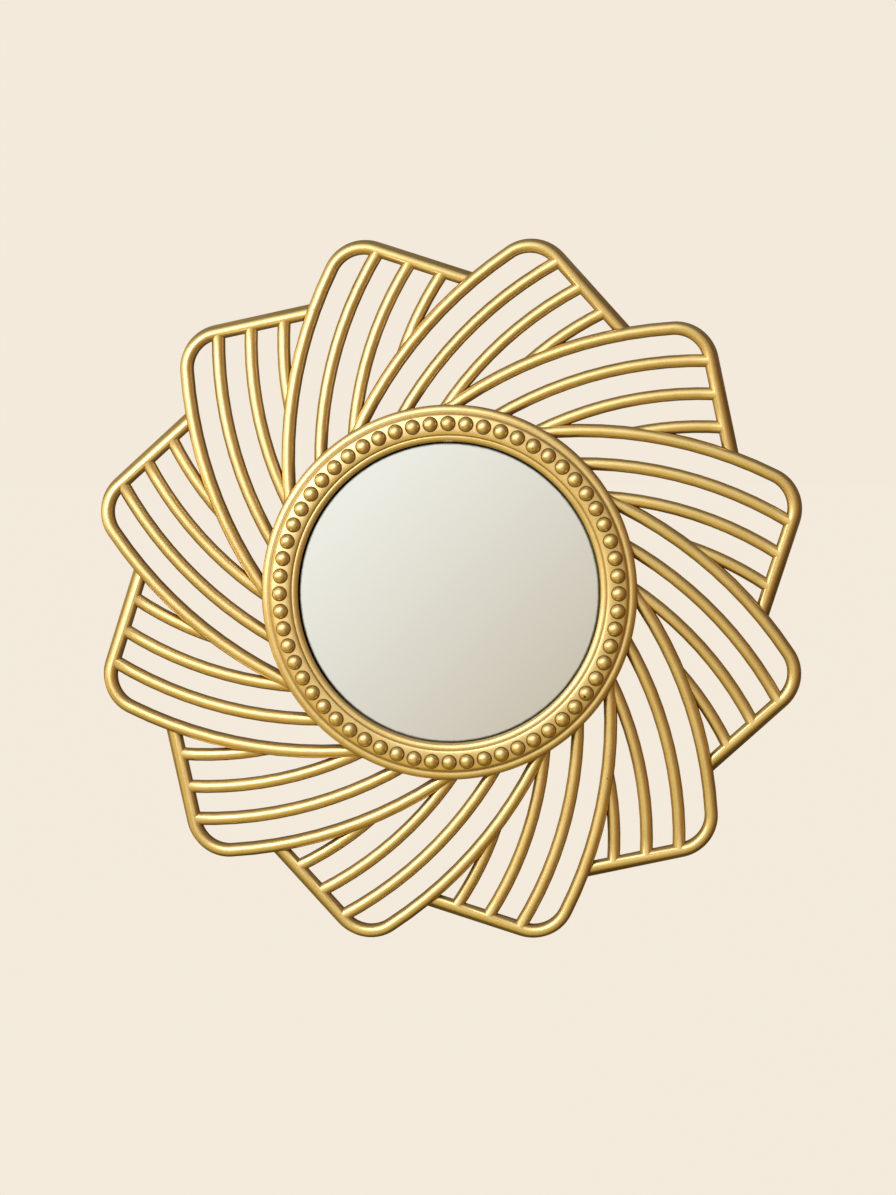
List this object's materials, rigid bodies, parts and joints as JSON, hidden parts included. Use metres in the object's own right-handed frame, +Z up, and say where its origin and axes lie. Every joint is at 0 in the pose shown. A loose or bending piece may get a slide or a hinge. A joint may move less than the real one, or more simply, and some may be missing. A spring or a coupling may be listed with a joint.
{
  "type": "wall mirror",
  "caption": "Round wall mirror in a cast gold frame: a beaded moulding and overlapping openwork petals that turn like a pinwheel, with a keyhole in the back to hang it.",
  "frame": {"origin": "centre of the flat back of the frame, where it lies against the wall", "axes": "+Y out of the back into the wall, +Z up the wall, +X to the right seen from the front; the mirror looks along -Y"},
  "size_m": [0.2426, 0.0147, 0.2426],
  "materials": {
    "antique_gold": "satin antique gold metallic paint with fine grain, browner in the grooves, on cast resin",
    "silvered_glass": "clear silvered glass with an arrised edge"
  },
  "bodies": {
    "root": {"frame": "antique_gold", "mirror_glass": "silvered_glass"}
  },
  "joints": []
}
